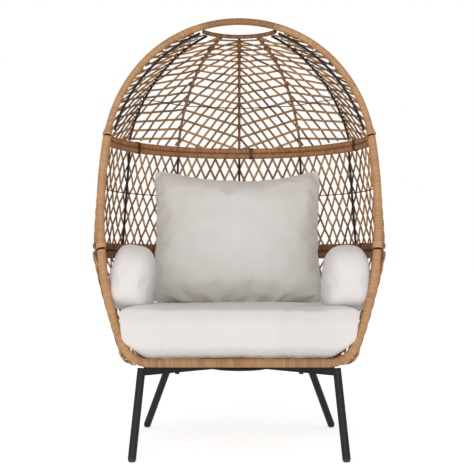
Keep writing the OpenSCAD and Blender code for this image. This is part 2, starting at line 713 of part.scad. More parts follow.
hub_ring();
arm_front_left();
arm_front_right();
arm_rear_left();
arm_rear_right();
leg_front_left();
leg_front_right();
leg_rear_left();
leg_rear_right();
foot_caps();
base_bolts();
base_nuts();
floor_hoop();
floor_bar_front();
floor_bar_rear();
floor_weave();
lower_rim_tube();
lower_rim_winding();
lower_hoop_rod();
lower_hoop_winding();
lower_ribs();
lower_weave();
middle_rim_tube_left();
middle_rim_tube_right();
middle_rim_winding_left();
middle_rim_winding_right();
middle_low_hoop_rod();
middle_low_hoop_winding();
middle_high_hoop_rod();
middle_high_hoop_winding();
middle_ribs();
middle_wire();
middle_weave();
dome_rim_tube();
dome_rim_winding();
dome_hoop_rod();
dome_hoop_winding();
crown_ring_rod();
crown_ring_winding();
dome_ribs_bare();
dome_ribs_wound_rods();
dome_rib_windings();
dome_wire();
dome_weave();
seam_pins();
upper_bindings();
waist_bindings();
upper_hoop_clips();
waist_hoop_clips();
seat_cushion();
back_pillow();
arm_pillow_left();
arm_pillow_right();
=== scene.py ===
"""Standing egg chair: wound rims and hoops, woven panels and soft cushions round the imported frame.

Lengths below are in millimetres in the basket's own frame (its axis at y = 0, +Y to the back)
unless a name says otherwise. world() turns them into metres in the row frame.
"""
import json
import math

import bmesh
import bpy
import numpy as np
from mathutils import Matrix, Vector, noise

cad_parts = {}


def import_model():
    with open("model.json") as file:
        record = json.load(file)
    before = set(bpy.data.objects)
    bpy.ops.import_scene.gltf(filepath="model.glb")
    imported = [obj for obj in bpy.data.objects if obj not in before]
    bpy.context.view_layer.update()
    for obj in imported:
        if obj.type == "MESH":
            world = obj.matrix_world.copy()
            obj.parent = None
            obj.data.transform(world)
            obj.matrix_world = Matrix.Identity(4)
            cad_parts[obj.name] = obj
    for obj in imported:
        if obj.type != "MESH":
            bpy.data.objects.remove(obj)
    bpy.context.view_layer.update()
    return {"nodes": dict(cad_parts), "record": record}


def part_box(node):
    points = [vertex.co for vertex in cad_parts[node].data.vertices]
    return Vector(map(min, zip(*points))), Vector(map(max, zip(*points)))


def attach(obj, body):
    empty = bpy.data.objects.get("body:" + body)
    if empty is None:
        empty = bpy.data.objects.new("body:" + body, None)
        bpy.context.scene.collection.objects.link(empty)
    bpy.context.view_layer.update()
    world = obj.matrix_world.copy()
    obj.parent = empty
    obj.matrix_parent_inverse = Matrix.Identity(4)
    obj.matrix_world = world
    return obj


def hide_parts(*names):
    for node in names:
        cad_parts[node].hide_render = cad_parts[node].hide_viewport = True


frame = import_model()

scene = bpy.context.scene
rng = np.random.default_rng(11)
MM = 0.001

# ---- dimensions shared with the CAD ----
LEAN = math.radians(11.5)
RAIL_Z, RAIL_FRONT = 287.0, 220.0
RIM_ARCS = ((405, 51.8), (477, 30.63), (1690, 12.47), (963, 18.3), (88, 66.8))
TOP, SHOULDER, SIDE, LOWER_SIDE, CORNER = range(5)
WAIST_R, WAIST_Z, WAIST_D = 456.0, 629.0, 25.5
UPPER_R, UPPER_Z, UPPER_D = 428.0, 989.0, 19.0
CROWN_R, CROWN_Z, CROWN_YC, CROWN_HALF, CROWN_D = 130.0, 1336.0, -60.0, 59.0, 14.0
RIM_D, DOME_RIM_D, RIB_D, WOUND_D = 26.5, 22.0, 8.0, 10.0
RIB_STEP = 31.0
HOOP_COVER = 0.35
AXIS_Y = (269 + 12.5 - WAIST_R - WAIST_D / 2) / 2
WAIST_LOW, WAIST_HIGH = WAIST_Z - WAIST_D / 2, WAIST_Z + WAIST_D / 2
UPPER_LOW, UPPER_HIGH = UPPER_Z - UPPER_D / 2, UPPER_Z + UPPER_D / 2


def world(points):
    """Basket millimetres to row-frame metres."""
    return (np.asarray(points, float) + (0, AXIS_Y, 0)) * MM


def unit(v):
    v = np.asarray(v, float)
    return v / np.linalg.norm(v)


def smooth_step(values, low, high):
    x = np.clip((values - low) / (high - low), 0, 1)
    return x * x * (3 - 2 * x)


# ---- the rim's outline, in its leaning plane ----
def rim_layout():
    """Start, centre and end of each arc, with the rail at v = 0."""
    arcs, point, heading = [], np.zeros(2), 0.0
    for radius, angle in RIM_ARCS:
        centre = point + radius * np.array((math.sin(heading), -math.cos(heading)))
        turned = heading - math.radians(angle)
        end = centre + radius * np.array((-math.sin(turned), math.cos(turned)))
        arcs.append([radius, centre, heading, turned, end])
        point, heading = end, turned
    up = np.array((0.0, -point[1]))
    return [(r, c + up, a, b, e + up) for r, c, a, b, e in arcs]


RIM = rim_layout()


def arc_points(i, step=3.0):
    """Points of arc i on the right side, from its upper end to its lower end."""
    radius, centre, a, b, _ = RIM[i]
    n = max(4, int(radius * abs(b - a) / step))
    h = np.linspace(a, b, n)
    return centre + radius * np.stack((-np.sin(h), np.cos(h)), 1)


def rim_x(v):
    for radius, centre, _, _, end in RIM:
        if v >= end[1] or radius == RIM_ARCS[-1][0]:
            return centre[0] + math.sqrt(max(0.0, radius ** 2 - (v - centre[1]) ** 2))


def plane_v(z):
    return (z - RAIL_Z) / math.cos(LEAN)


def rim_y(z):
    return -RAIL_FRONT + (z - RAIL_Z) * math.tan(LEAN)


def from_plane(flat):
    """Points of the opening's plane, in the basket's frame."""
    x, v = flat[:, 0], flat[:, 1]
    return np.stack((x, -RAIL_FRONT + v * math.sin(LEAN), RAIL_Z + v * math.cos(LEAN)), 1)


def flip(points):
    return np.asarray(points) * (-1, 1, 1)


def joined(*runs):
    """Polylines end to end, without the doubled points."""
    out = [runs[0]]
    for run in runs[1:]:
        out.append(run[1:])
    return np.concatenate(out)


def circle_point(radius, yc, degrees, z):
    a = np.radians(degrees)
    return np.stack(np.broadcast_arrays(radius * np.sin(a), yc + radius * np.cos(a), z), -1)


def level_arc(radius, half, z, yc=0.0, n=240):
    return circle_point(radius, yc, np.linspace(-half, half, n), z)


def rim_polar(z):
    return math.degrees(math.atan2(rim_x(plane_v(z)), rim_y(z)))


def bow(a, b, bulge, t):
    """Point or points at t on the arc from a to b that bows outward in its upright plane."""
    a, b = np.asarray(a, float), np.asarray(b, float)
    chord = np.linalg.norm(b - a)
    radius = (chord ** 2 / 4 + bulge ** 2) / (2 * bulge)
    half = math.asin(chord / 2 / radius)
    c = (b - a) / chord
    h = unit((a[0] - b[0], a[1] - b[1], 0))
    n = unit(h * c[2] + np.array((0, 0, math.hypot(c[0], c[1]))))
    w = (half * (2 * np.asarray(t, float) - 1))[..., None]
    return (a + b) / 2 + radius * np.sin(w) * c + radius * (np.cos(w) - math.cos(half)) * n


CROWN_GAP = 7.4 + CROWN_D / 2
DOME_BASE = UPPER_HIGH + UPPER_D / 2 + 1.5
DOME_RIBS = ((0, 70), (26, 66), (48, 58))
SIDE_END = (127, 6, 1332)
SIDE_RIB = ((396, -55, 1010), SIDE_END, 45)
SIDE_PANEL = (circle_point(UPPER_R, 0, 90, DOME_BASE), SIDE_END, 51)


def dome_rib(k):
    """Start, end and bulge of a dome rib: 0 at the back, 1 and 2 to its right, 3 at the rim."""
    if k == 3:
        return SIDE_RIB
    ring, bulge = DOME_RIBS[k]
    end = circle_point(CROWN_R + 0.9 * CROWN_GAP, CROWN_YC, ring, CROWN_Z - 0.4 * CROWN_GAP)
    return circle_point(UPPER_R, 0, k * RIB_STEP, DOME_BASE), end, bulge


# ---- meshes ----
class Builder:
    """Collects vertices, faces, a tone and a weight of painted shade in the grooves per vertex for
    one mesh.
    """

    def __init__(self):
        self.verts, self.faces, self.tone, self.groove, self.count = [], [], [], [], 0

    def add(self, verts, faces, tone, groove=0.0):
        n = len(verts)
        self.verts.append(verts)
        self.faces.extend([tuple(i + self.count for i in f) for f in faces])
        self.tone.append(np.broadcast_to(np.asarray(tone, float), (n,)))
        self.groove.append(np.broadcast_to(np.asarray(groove, float), (n,)))
        self.count += n

    def make(self, name, material, body="chair", replaces=(), smooth=True):
        mesh = bpy.data.meshes.new(name)
        mesh.from_pydata(world(np.concatenate(self.verts)).tolist(), [], self.faces)
        for label, values in (("tone", self.tone), ("groove", self.groove)):
            layer = mesh.attributes.new(label, "FLOAT", "POINT")
            layer.data.foreach_set("value", np.concatenate(values).astype(np.float32))
        return finish_piece(mesh, name, material, body, replaces, smooth)


def finish_piece(mesh, name, material, body, replaces, smooth=True):
    bm = bmesh.new()
    bm.from_mesh(mesh)
    bmesh.ops.recalc_face_normals(bm, faces=bm.faces)
    bm.to_mesh(mesh)
    bm.free()
    mesh.polygons.foreach_set("use_smooth", [smooth] * len(mesh.polygons))
    mesh.materials.append(material)
    piece = bpy.data.objects.new(name, mesh)
    scene.collection.objects.link(piece)
    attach(piece, body)
    if replaces:
        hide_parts(*replaces)
    return piece


def frames_along(path):
    """Arc length, tangent and a normal carried along the path without twist."""
    path = np.asarray(path, float)
    steps = np.linalg.norm(np.diff(path, axis=0), axis=1)
    length = np.concatenate(((0.0,), np.cumsum(steps)))
    tangent = np.gradient(path, axis=0)
    tangent /= np.linalg.norm(tangent, axis=1)[:, None]
    normal = np.zeros_like(path)
    seed = np.array((0.0, 0.0, 1.0)) if abs(tangent[0][2]) < 0.9 else np.array((0.0, 1.0, 0.0))
    for i, t in enumerate(tangent):
        seed = unit(seed - t * seed.dot(t))
        normal[i] = seed
    return length, tangent, normal


# Per step of a turn: its share of the turn, how far the groove sinks it, and how much painted shade
# it gets.
PROFILE = ((0.0, 1.0, 1.0), (0.13, 0.18, 0.15), (0.5, 0.0, 0.0), (0.87, 0.18, 0.15))


def wind(builder, path, radius, pitch=6.2, depth=0.9, sides=18, tones=(0.15, 0.85), painted_shade=None):
    """Flat strip wound closely round a rod: a helix whose turns meet in narrow grooves."""
    length, tangent, normal = frames_along(path)
    path = np.asarray(path, float)
    turns = int(length[-1] / pitch)
    pitch = length[-1] / turns
    m = len(PROFILE)
    rows = (turns - 1) * m + 1
    i, j = np.meshgrid(np.arange(rows), np.arange(sides), indexing="ij")
    prof = np.array(PROFILE)
    s = (i // m + prof[i % m, 0] + j / sides) * pitch
    r = radius - depth * prof[i % m, 1]
    at = lambda values: np.stack([np.interp(s, length, values[:, c]) for c in range(3)], -1)
    p, t, n = at(path), at(tangent), at(normal)
    t /= np.linalg.norm(t, axis=-1)[..., None]
    n -= t * (n * t).sum(-1)[..., None]
    n /= np.linalg.norm(n, axis=-1)[..., None]
    b = np.cross(t, n)
    angle = 2 * np.pi * j / sides
    v = p + r[..., None] * (np.cos(angle)[..., None] * n + np.sin(angle)[..., None] * b)
    shades = rng.uniform(*tones, turns + 1)
    tone = shades[i // m] + rng.normal(0, 0.03, i.shape)
    # The darkening given for each place is painted shade on the turns.
    if painted_shade is not None:
        tone = tone - painted_shade(p)
    at_id = lambda a, c: a * sides + c
    faces = []
    for a in range(rows - 1):
        for c in range(sides - 1):
            faces.append((at_id(a, c), at_id(a, c + 1), at_id(a + 1, c + 1), at_id(a + 1, c)))
        if a + m + 1 < rows:
            faces.append((at_id(a, sides - 1), at_id(a + m, 0), at_id(a + m + 1, 0),
                          at_id(a + 1, sides - 1)))
    last = rows - 1
    start = [at_id(0, c) for c in range(sides)] + [at_id(a, 0) for a in range(m, 0, -1)]
    stop = [at_id(last, c) for c in range(sides)]
    stop += [at_id(a, sides - 1) for a in range(last - 1, last - m - 1, -1)]
    faces += [tuple(start), tuple(reversed(stop))]
    builder.add(v.reshape(-1, 3), faces, tone.ravel(), prof[i % m, 2].ravel())


def strand(builder, path, outward, width=8.0, thick=4.0, tone=0.5):
    """One flat-oval strand of wicker along a path whose flat side faces outward."""
    path = np.asarray(path, float)
    outward = np.broadcast_to(np.asarray(outward, float), path.shape)
    t = np.gradient(path, axis=0)
    t /= np.linalg.norm(t, axis=1)[:, None]
    n = outward - t * (outward * t).sum(1)[:, None]
    n /= np.linalg.norm(n, axis=1)[:, None]
    b = np.cross(t, n)
    section = ((0.5, 0.0), (0.36, 0.42), (-0.36, 0.42), (-0.5, 0.0), (-0.36, -0.42), (0.36, -0.42))
    k = len(section)
    verts = np.stack([path + b * width * sx + n * thick * sy for sx, sy in section], 1)
    faces = []
    for a in range(len(path) - 1):
        for c in range(k):
            d = (c + 1) % k
            faces.append((a * k + c, a * k + d, (a + 1) * k + d, (a + 1) * k + c))
    end = (len(path) - 1) * k
    faces += [tuple(range(k)), tuple(end + c for c in reversed(range(k)))]
    builder.add(verts.reshape(-1, 3), faces, tone)


def ring(builder, centre, axis, radius, thick, tone, sides=16, section=6):
    """Small turn of wicker round a rod."""
    axis = unit(axis)
    x = unit(np.cross(axis, (0.3, 0.2, 1.0)))
    y = np.cross(axis, x)
    a = 2 * np.pi * np.arange(sides) / sides
    c = 2 * np.pi * np.arange(section) / section
    spoke = np.cos(a)[:, None] * x + np.sin(a)[:, None] * y
    verts = (np.asarray(centre, float)
             + spoke[:, None] * (radius + thick * 0.5 * np.cos(c))[None, :, None]
             + axis * (thick * 0.9 * np.sin(c))[None, :, None])
    faces = []
    for i in range(sides):
        for j in range(section):
            i2, j2 = (i + 1) % sides, (j + 1) % section
            faces.append((i * section + j, i2 * section + j, i2 * section + j2, i * section + j2))
    builder.add(verts.reshape(-1, 3), faces, tone)


def tube(builder, path, radius, sides=14, tone=0.5):
    _, tangent, normal = frames_along(path)
    b = np.cross(tangent, normal)
    a = 2 * np.pi * np.arange(sides) / sides
    path = np.asarray(path, float)
    verts = path[:, None] + radius * (np.cos(a)[None, :, None] * normal[:, None]
                                      + np.sin(a)[None, :, None] * b[:, None])
    faces = []
    for i in range(len(path) - 1):
        for j in range(sides):
            k = (j + 1) % sides
            faces.append((i * sides + j, i * sides + k, (i + 1) * sides + k, (i + 1) * sides + j))
    end = (len(path) - 1) * sides
    faces += [tuple(range(sides)), tuple(end + c for c in reversed(range(sides)))]
    builder.add(verts.reshape(-1, 3), faces, tone)


# ---- materials ----
class Shader:
    """A material whose nodes are added one call at a time."""

    def __init__(self, name):
        self.material = bpy.data.materials.new(name)
        self.material.use_nodes = True
        self.tree = self.material.node_tree
        self.bsdf = self.tree.nodes["Principled BSDF"]
        self.coords = self.tree.nodes.new("ShaderNodeTexCoord").outputs["Object"]

    def node(self, kind, inputs=(), **settings):
        made = self.tree.nodes.new("ShaderNode" + kind)
        for key, value in settings.items():
            setattr(made, key, value)
        for key, value in dict(inputs).items():
            if isinstance(value, bpy.types.NodeSocket):
                self.tree.links.new(value, made.inputs[key])
            else:
                made.inputs[key].default_value = value
        return made

    def noise(self, scale, detail=3.0, rough=0.5, stretch=None):
        where = self.coords
        if stretch:
            where = self.node("Mapping", {"Vector": where, "Scale": stretch}).outputs["Vector"]
        return self.node("TexNoise", {"Vector": where, "Scale": scale, "Detail": detail,
                                      "Roughness": rough}).outputs["Fac"]

    def ramp(self, fac, stops):
        made = self.node("ValToRGB", {"Fac": fac})
        while len(made.color_ramp.elements) < len(stops):
            made.color_ramp.elements.new(0.5)
        for element, (place, colour) in zip(made.color_ramp.elements, stops):
            element.position = place
            element.color = (*colour, 1)
        return made.outputs["Color"]

    def math(self, operation, a, b, clamp=False):
        return self.node("Math", {0: a, 1: b}, operation=operation, use_clamp=clamp).outputs[0]

    def mix(self, fac, a, b):
        made = self.node("Mix", data_type="RGBA", blend_type="MIX")
        for socket, value in ((made.inputs[0], fac), (made.inputs[6], a), (made.inputs[7], b)):
            if isinstance(value, bpy.types.NodeSocket):
                self.tree.links.new(value, socket)
            else:
                socket.default_value = value
        return made.outputs[2]

    def attribute(self, name):
        return self.node("Attribute", attribute_name=name).outputs["Fac"]

    def bump(self, height, strength, distance, below=None):
        inputs = {"Height": height, "Strength": strength, "Distance": distance}
        if below is not None:
            inputs["Normal"] = below
        return self.node("Bump", inputs).outputs["Normal"]

    def out(self, **inputs):
        for key, value in inputs.items():
            socket = self.bsdf.inputs[key.replace("_", " ")]
            if isinstance(value, bpy.types.NodeSocket):
                self.tree.links.new(value, socket)
            else:
                socket.default_value = value
        return self.material


def wicker(name, dark, mid, light):
    """Synthetic wicker: a tone per turn or strand, fine fibres along it, painted shade in the
    grooves between turns.
    """
    sh = Shader(name)
    patches = sh.noise(14, 3)
    fibres = sh.noise(260, 4, 0.65)
    tone = sh.math("ADD", sh.attribute("tone"), sh.math("MULTIPLY", patches, 0.5))
    tone = sh.math("SUBTRACT", tone, 0.25, clamp=True)
    colour = sh.ramp(tone, ((0.0, dark), (0.5, mid), (1.0, light)))
    colour = sh.mix(sh.math("MULTIPLY", fibres, 0.35), colour, (*dark, 1))
    # Painted shade: the grooves between turns are darkened towards a quarter of the dark tone.
    groove = sh.math("MULTIPLY", sh.attribute("groove"), 0.65)
    colour = sh.mix(groove, colour, (*[c * 0.25 for c in dark], 1))
    rough = sh.math("ADD", sh.math("MULTIPLY", fibres, 0.25), 0.38)
    fine = sh.bump(fibres, 0.35, 0.0004)
    return sh.out(Base_Color=colour, Roughness=rough, Normal=fine, IOR=1.46,
                  Specular_IOR_Level=0.42)


def coated_steel(name, colour, rough=0.42):
    """Powder coat: fine orange peel, with slightly uneven colour and gloss."""
    sh = Shader(name)
    peel = sh.noise(900, 3, 0.6)
    clouds = sh.noise(9, 4, 0.6)
    light = tuple(min(1, c * 1.7 + 0.004) for c in colour)
    base = sh.ramp(clouds, ((0.3, colour), (0.75, light)))
    roughness = sh.math("ADD", sh.math("MULTIPLY", clouds, 0.2), rough - 0.08)
    return sh.out(Base_Color=base, Roughness=roughness, Normal=sh.bump(peel, 0.25, 0.0003),
                  Specular_IOR_Level=0.26)


def rubber_black(name):
    sh = Shader(name)
    grain = sh.noise(1500, 4, 0.7)
    scuffs = sh.noise(60, 5, 0.7, (1, 1, 6))
    base = sh.ramp(scuffs, ((0.35, (0.012, 0.012, 0.012)), (0.8, (0.035, 0.034, 0.033))))
    return sh.out(Base_Color=base, Roughness=sh.math("ADD", sh.math("MULTIPLY", scuffs, 0.2), 0.6),
                  Normal=sh.bump(grain, 0.3, 0.0003))


def linen(name):
    """Off-white outdoor cloth: a fine plain weave, slubs and faint clouding."""
    sh = Shader(name)
    place = sh.node("SeparateXYZ", {"Vector": sh.coords}).outputs
    across = sh.math("SINE", sh.math("MULTIPLY", sh.math("ADD", place["X"], place["Y"]), 4200.0), 0)
    along = sh.math("SINE", sh.math("MULTIPLY", sh.math("SUBTRACT", place["Z"], sh.math(
        "MULTIPLY", place["Y"], 0.6)), 4200.0), 0)
    weave = sh.math("MULTIPLY", across, along)
    slubs = sh.noise(420, 3, 0.6, (1, 1, 7))
    clouds = sh.noise(5, 3, 0.5)
    creases = sh.noise(38, 4, 0.55)
    base = sh.ramp(clouds, ((0.3, (0.612, 0.580, 0.556)), (0.7, (0.646, 0.616, 0.592))))
    base = sh.mix(sh.math("MULTIPLY", slubs, 0.16), base, (0.60, 0.57, 0.53, 1))
    # Painted shade along the seams, weighted per vertex; the cushions set the weight to zero.
    base = sh.mix(sh.attribute("groove"), base, (0.42, 0.39, 0.355, 1))
    soft = sh.bump(creases, 0.16, 0.004)
    yarn = sh.bump(slubs, 0.22, 0.0006, soft)
    cloth = sh.bump(weave, 0.18, 0.00025, yarn)
    return sh.out(Base_Color=base, Roughness=0.86, Normal=cloth, Sheen_Weight=0.25,
                  Sheen_Roughness=0.5, Specular_IOR_Level=0.25)


HONEY = wicker("wicker_honey", (0.27, 0.125, 0.045), (0.50, 0.265, 0.112), (0.66, 0.39, 0.19))
BROWN = wicker("wicker_brown", (0.115, 0.047, 0.018), (0.36, 0.160, 0.060), (0.53, 0.27, 0.115))
STRANDS = wicker("wicker_strand", (0.055, 0.030, 0.011), (0.36, 0.175, 0.050),
                 (0.58, 0.315, 0.105))
CHARCOAL = coated_steel("coated_charcoal", (0.0062, 0.0064, 0.0060), 0.5)
BLACK = coated_steel("coated_black", (0.006, 0.006, 0.006), 0.45)
FASTENER = coated_steel("coated_fastener", (0.012, 0.012, 0.012), 0.3)
BROWN_COAT = coated_steel("coated_brown", (0.045, 0.020, 0.009), 0.45)
RUBBER = rubber_black("foot_rubber")
LINEN = linen("cushion_cloth")

SLOT_MATERIALS = {"steel_coated": CHARCOAL, "rod_coated": BLACK, "core_steel": BLACK,
                  "fastener": FASTENER, "rubber": RUBBER, "wicker_honey": HONEY,
                  "wicker_brown": BROWN, "wicker_strand": STRANDS, "linen": LINEN}
SLOT_OF = {s["node"]: s["material_slot"] for s in frame["record"]["subparts"]}


def dress_nodes():
    """Every CAD node gets the procedural material of its slot, and the clips a brown coat."""
    for name, node in frame["nodes"].items():
        node.data.materials.clear()
        clip = name.endswith("_hoop_clips")
        node.data.materials.append(BROWN_COAT if clip else SLOT_MATERIALS[SLOT_OF[name]])


# ---- wound rims, hoops and ribs ----
def rim_run(arcs, side=1):
    run = joined(*[arc_points(i) for i in arcs])
    run = from_plane(run)
    return run if side > 0 else flip(run)


def make_rims():
    b = Builder()
    right = rim_run((TOP, SHOULDER))
    # The middle of the top arc is darkened as painted shade.
    wind(b, joined(flip(right)[::-1], right), DOME_RIM_D / 2, tones=(0.36, 0.62),
         painted_shade=lambda p: 0.6 * (1 - smooth_step(np.abs(p[..., 0]), 95, 135)))
    b.make("dome_rim", HONEY, replaces=("dome_rim_winding",))
    for side, label in ((-1, "left"), (1, "right")):
        b = Builder()
        wind(b, rim_run((SIDE,), side), RIM_D / 2, tones=(0.38, 0.64))
        b.make("middle_rim_" + label, HONEY,
               replaces=("middle_rim_winding_" + label,))
    b = Builder()
    right = rim_run((LOWER_SIDE, CORNER))
    rail = np.stack((np.linspace(-right[-1][0], right[-1][0], 60),
                     np.full(60, right[-1][1]), np.full(60, right[-1][2])), 1)
    # The rail and the lowest bit of the rim are darkened as painted shade, where the seat's front
    # hangs over them.
    wind(b, joined(flip(right), rail, right[::-1]), RIM_D / 2, tones=(0.38, 0.64),
         painted_shade=lambda p: 0.28 * (1 - smooth_step(p[..., 2], 288, 330)))
    b.make("lower_rim", HONEY, replaces=("lower_rim_winding",))


def make_hoops():
    # Lit and shaded copies of one brown: the waist hoops take darker tones as painted shade from the
    # cushions, the upper hoops lighter tones as painted light.
    dark, lit_tones = (0.05, 0.5), (0.45, 0.95)
    for name, node, radius, z, d, tones in (
            ("lower_hoop", "lower_hoop_winding", WAIST_R, WAIST_LOW, WAIST_D, dark),
            ("middle_low_hoop", "middle_low_hoop_winding", WAIST_R, WAIST_HIGH, WAIST_D, dark),
            ("middle_high_hoop", "middle_high_hoop_winding", UPPER_R, UPPER_LOW, UPPER_D, lit_tones),
            ("dome_hoop", "dome_hoop_winding", UPPER_R, UPPER_HIGH, UPPER_D, lit_tones)):
        b = Builder()
        half = rim_polar(z) - math.degrees(6 / radius)
        wind(b, level_arc(radius, half, z), d / 2 + HOOP_COVER, tones=tones)
        b.make(name, BROWN, replaces=(node,))
    b = Builder()
    wind(b, level_arc(CROWN_R, CROWN_HALF + 5, CROWN_Z, CROWN_YC), CROWN_D / 2, 5.4, 0.7, 14,
         (0.05, 0.45))
    b.make("crown_ring", BROWN, replaces=("crown_ring_winding",))
    b = Builder()
    t = np.linspace(-0.01, 1.015, 120)
    for k in (-1, 0, 1):
        path = bow(*dome_rib(abs(k)), t)
        wind(b, path if k >= 0 else flip(path), WOUND_D / 2, 5.0, 0.6, 12,
             (0.25, 0.8) if k else (0.0, 0.45))
    b.make("dome_ribs_wound", BROWN, replaces=("dome_rib_windings",))


def make_bindings():
    """Wicker bound over the seams of the rim."""
    b = Builder()
    radius, centre, _, turned, _ = RIM[SHOULDER]
    h = np.linspace(turned + math.radians(2.5), turned, 12)
    flat = centre + radius * np.stack((-np.sin(h), np.cos(h)), 1)
    for side in (-1, 1):
        path = from_plane(flat)
        wind(b, path if side > 0 else flip(path), RIM_D / 2 + 0.6, 5.2, 0.9, 20, (0.3, 0.7))
    b.make("upper_binding", HONEY, replaces=("upper_bindings",))
    b = Builder()
    radius, centre, _, turned, _ = RIM[SIDE]
    h = np.linspace(turned + math.radians(0.9), turned, 12)
    flat = centre + radius * np.stack((-np.sin(h), np.cos(h)), 1)
    for side in (-1, 1):
        path = from_plane(flat)
        wind(b, path if side > 0 else flip(path), RIM_D / 2 + 2.2, 5.6, 1.2, 20, (0.3, 0.75))
    b.make("waist_binding", HONEY, replaces=("waist_bindings",))


# ---- woven panels ----
WEAVE_LIFT = 1.5


def course(line, u):
    """Place along the ribs of a strand (start, fall, bend) a share u of the way over a bay."""
    start, fall, bend = line
    return start - fall * u - bend * u * u


def lattice(builder, surface, lines, other, inside, steps, lean_sign, tone_range):
    """Strands of one family over a panel, each passing over and under the other family."""
    u = np.linspace(0, 1, steps)
    for p, line in enumerate(lines):
        t = course(line, u)
        keep = inside(u, t)
        if keep.sum() < 2:
            continue
        first, last = np.flatnonzero(keep)[[0, -1]]
        uu, tt = u[first:last + 1], t[first:last + 1]
        levels = np.stack([course(o, uu) for o in other])
        q = np.array([np.interp(tt[i], levels[:, i], np.arange(len(other)))
                      for i in range(len(uu))])
        points, normals = surface(uu, tt)
        points = points + normals * (lean_sign * WEAVE_LIFT * np.cos(np.pi * (q + p)))[:, None]
        strand(builder, points, normals, tone=rng.uniform(*tone_range))


def family(start, fall, bend=0.0):
    """Strands as rows of (start, fall, bend), from the lowest up."""
    rows = np.stack(np.broadcast_arrays(start, fall, bend), 1)
    return rows[np.argsort(rows[:, 0])]


def dome_surface(left, right, lift):
    """Ruled surface between two bowed lines, lifted outward from the dome's middle."""
    middle = np.array((0.0, 30.0, 980.0))

    def surface(u, t):
        a, b = left(t), right(t)
        points = a + (b - a) * u[:, None]
        normals = points - middle
        normals /= np.linalg.norm(normals, axis=1)[:, None]
        return points + normals * lift, normals
    return surface


def rib_line(k):
    return (lambda t: bow(*dome_rib(k), t)) if k < 3 else (lambda t: bow(*SIDE_PANEL, t))


def rim_line(t):
    """Line just behind the dome's rim at the height of the side panel's t."""
    z = bow(*SIDE_PANEL, t)[:, 2]
    x = np.array([rim_x(plane_v(h)) for h in z])
    back = 9.0
    return np.stack((x - 2, rim_y(z) + back * math.cos(LEAN), z - back * math.sin(LEAN)), 1)


def dome_families():
    """For each bay from the back to the rim, its flat strands and its steep strands."""
    j = np.arange(-3, 13)
    knots = 0.075 + 0.09 * j - 0.0015 * j * np.abs(j)
    rise = np.clip(0.14 - 0.175 * knots, 0, 0.17)
    flat0 = family(knots, -rise)
    steep0 = family(knots + 0.004, np.clip(0.74 - 0.66 * knots, 0.12, 0.5),
                    np.clip(0.18 - 0.68 * (knots - 0.645), 0.02, 0.19))
    knots = knots + rise
    drop = np.clip(0.04 + 0.12 * knots, 0.04, 0.1)
    flat1 = family(knots, drop)
    starts = 0.03 + 0.118 * np.arange(0, 9)
    steep1 = family(starts, 0.62 - 0.4 * starts, np.clip(1.1 * (1 - starts), 0.04, 0.32))
    starts = 0.03 + 0.062 * np.arange(-1, 16)
    flat2 = family(starts, np.clip(0.15 - 0.1 * starts, 0.03, 0.2))
    steep2 = family(starts + 0.03, np.clip(0.6 - 0.45 * starts, 0.1, 0.6))
    flat3, steep3 = family(starts, 0.03), family(starts, 0.08)
    return (flat0, steep0), (flat1, steep1), (flat2, steep2), (flat3, steep3)


def make_dome_weave():
    b = Builder()
    lift = WOUND_D / 2 + 2.4
    edges = [rib_line(0), rib_line(1), rib_line(2), rib_line(3), rim_line]
    inside = lambda u, t: (t > -0.022) & (t < 1.0)
    for bay, families in enumerate(dome_families()):
        for side in (-1, 1):
            left, right = edges[bay], edges[bay + 1]
            if side < 0:
                mirror_left, mirror_right = left, right
                left = lambda t, f=mirror_left: flip(f(t))
                right = lambda t, f=mirror_right: flip(f(t))
            surface = dome_surface(left, right, lift)
            flat, steep = families
            lattice(b, surface, flat, steep, inside, 25, 1, (0.35, 0.95))
            lattice(b, surface, steep, flat, inside, 25, -1, (0.1, 0.75))
    behind, beside = dome_families()[0][0], dome_families()[1][0]
    for k, heights in ((0, behind[:, 0]), (1, beside[:, 0]), (2, beside[:, 0] - beside[:, 1])):
        rod = WOUND_D / 2 if k < 2 else RIB_D / 2
        for t in heights[(heights > 0.01) & (heights < 0.97)]:
            here, ahead = bow(*dome_rib(k), np.array((t, t + 0.01)))
            for side in ((-1, 1) if k else (1,)):
                flipper = np.array((side, 1, 1))
                ring(b, here * flipper, (ahead - here) * flipper, rod + 1.3, 2.8,
                     rng.uniform(0.1, 0.7))
    b.make("dome_lattice", STRANDS, replaces=("dome_weave",))


DIAMOND = 4.65
DIAMOND_H = 73.7
CROSSING_Z = 933.0


def middle_point(degrees, z, lift):
    low, high = WAIST_HIGH + WAIST_D / 2, UPPER_LOW - UPPER_D / 2
    s = (z - low) / (high - low)
    radius = WAIST_R + (UPPER_R - WAIST_R) * s + 12 * s * (1 - s) + lift
    return circle_point(radius, 0, degrees, z), circle_point(1.0, 0, degrees, 0)


def make_middle_weave():
    b = Builder()
    low, high = WAIST_HIGH + WAIST_D / 2 - 4, UPPER_LOW - UPPER_D / 2 + 4
    z = np.linspace(low, high, 43)
    half = np.array([math.degrees(math.acos((rim_y(h) + 6) / middle_point(0, h, 0)[0][1]))
                     for h in z])
    rows = (z - CROSSING_Z) / DIAMOND_H
    for lean_sign in (-1, 1):
        for p in range(-26, 27):
            degrees = DIAMOND * (p + lean_sign * rows)
            keep = np.abs(degrees) < half
            if keep.sum() < 3:
                continue
            zz, dd, rr = z[keep], degrees[keep], rows[keep]
            points, normals = middle_point(dd, zz, RIB_D / 2 + 3.4)
            wave = lean_sign * WEAVE_LIFT * np.cos(np.pi * (2 * rr + 2 * p + p))
            strand(b, points + normals * wave[:, None], normals, tone=rng.uniform(0.25, 0.95))
    b.make("middle_lattice", STRANDS, replaces=("middle_weave",))


WALL_TOP, WALL_LOW = WAIST_LOW - WAIST_D / 2, 312.0
WALL_LOW_R, WALL_LOW_YC = 366, -75
TUCK_R, TUCK_YC, TUCK_Z = 341.5, -66, 288


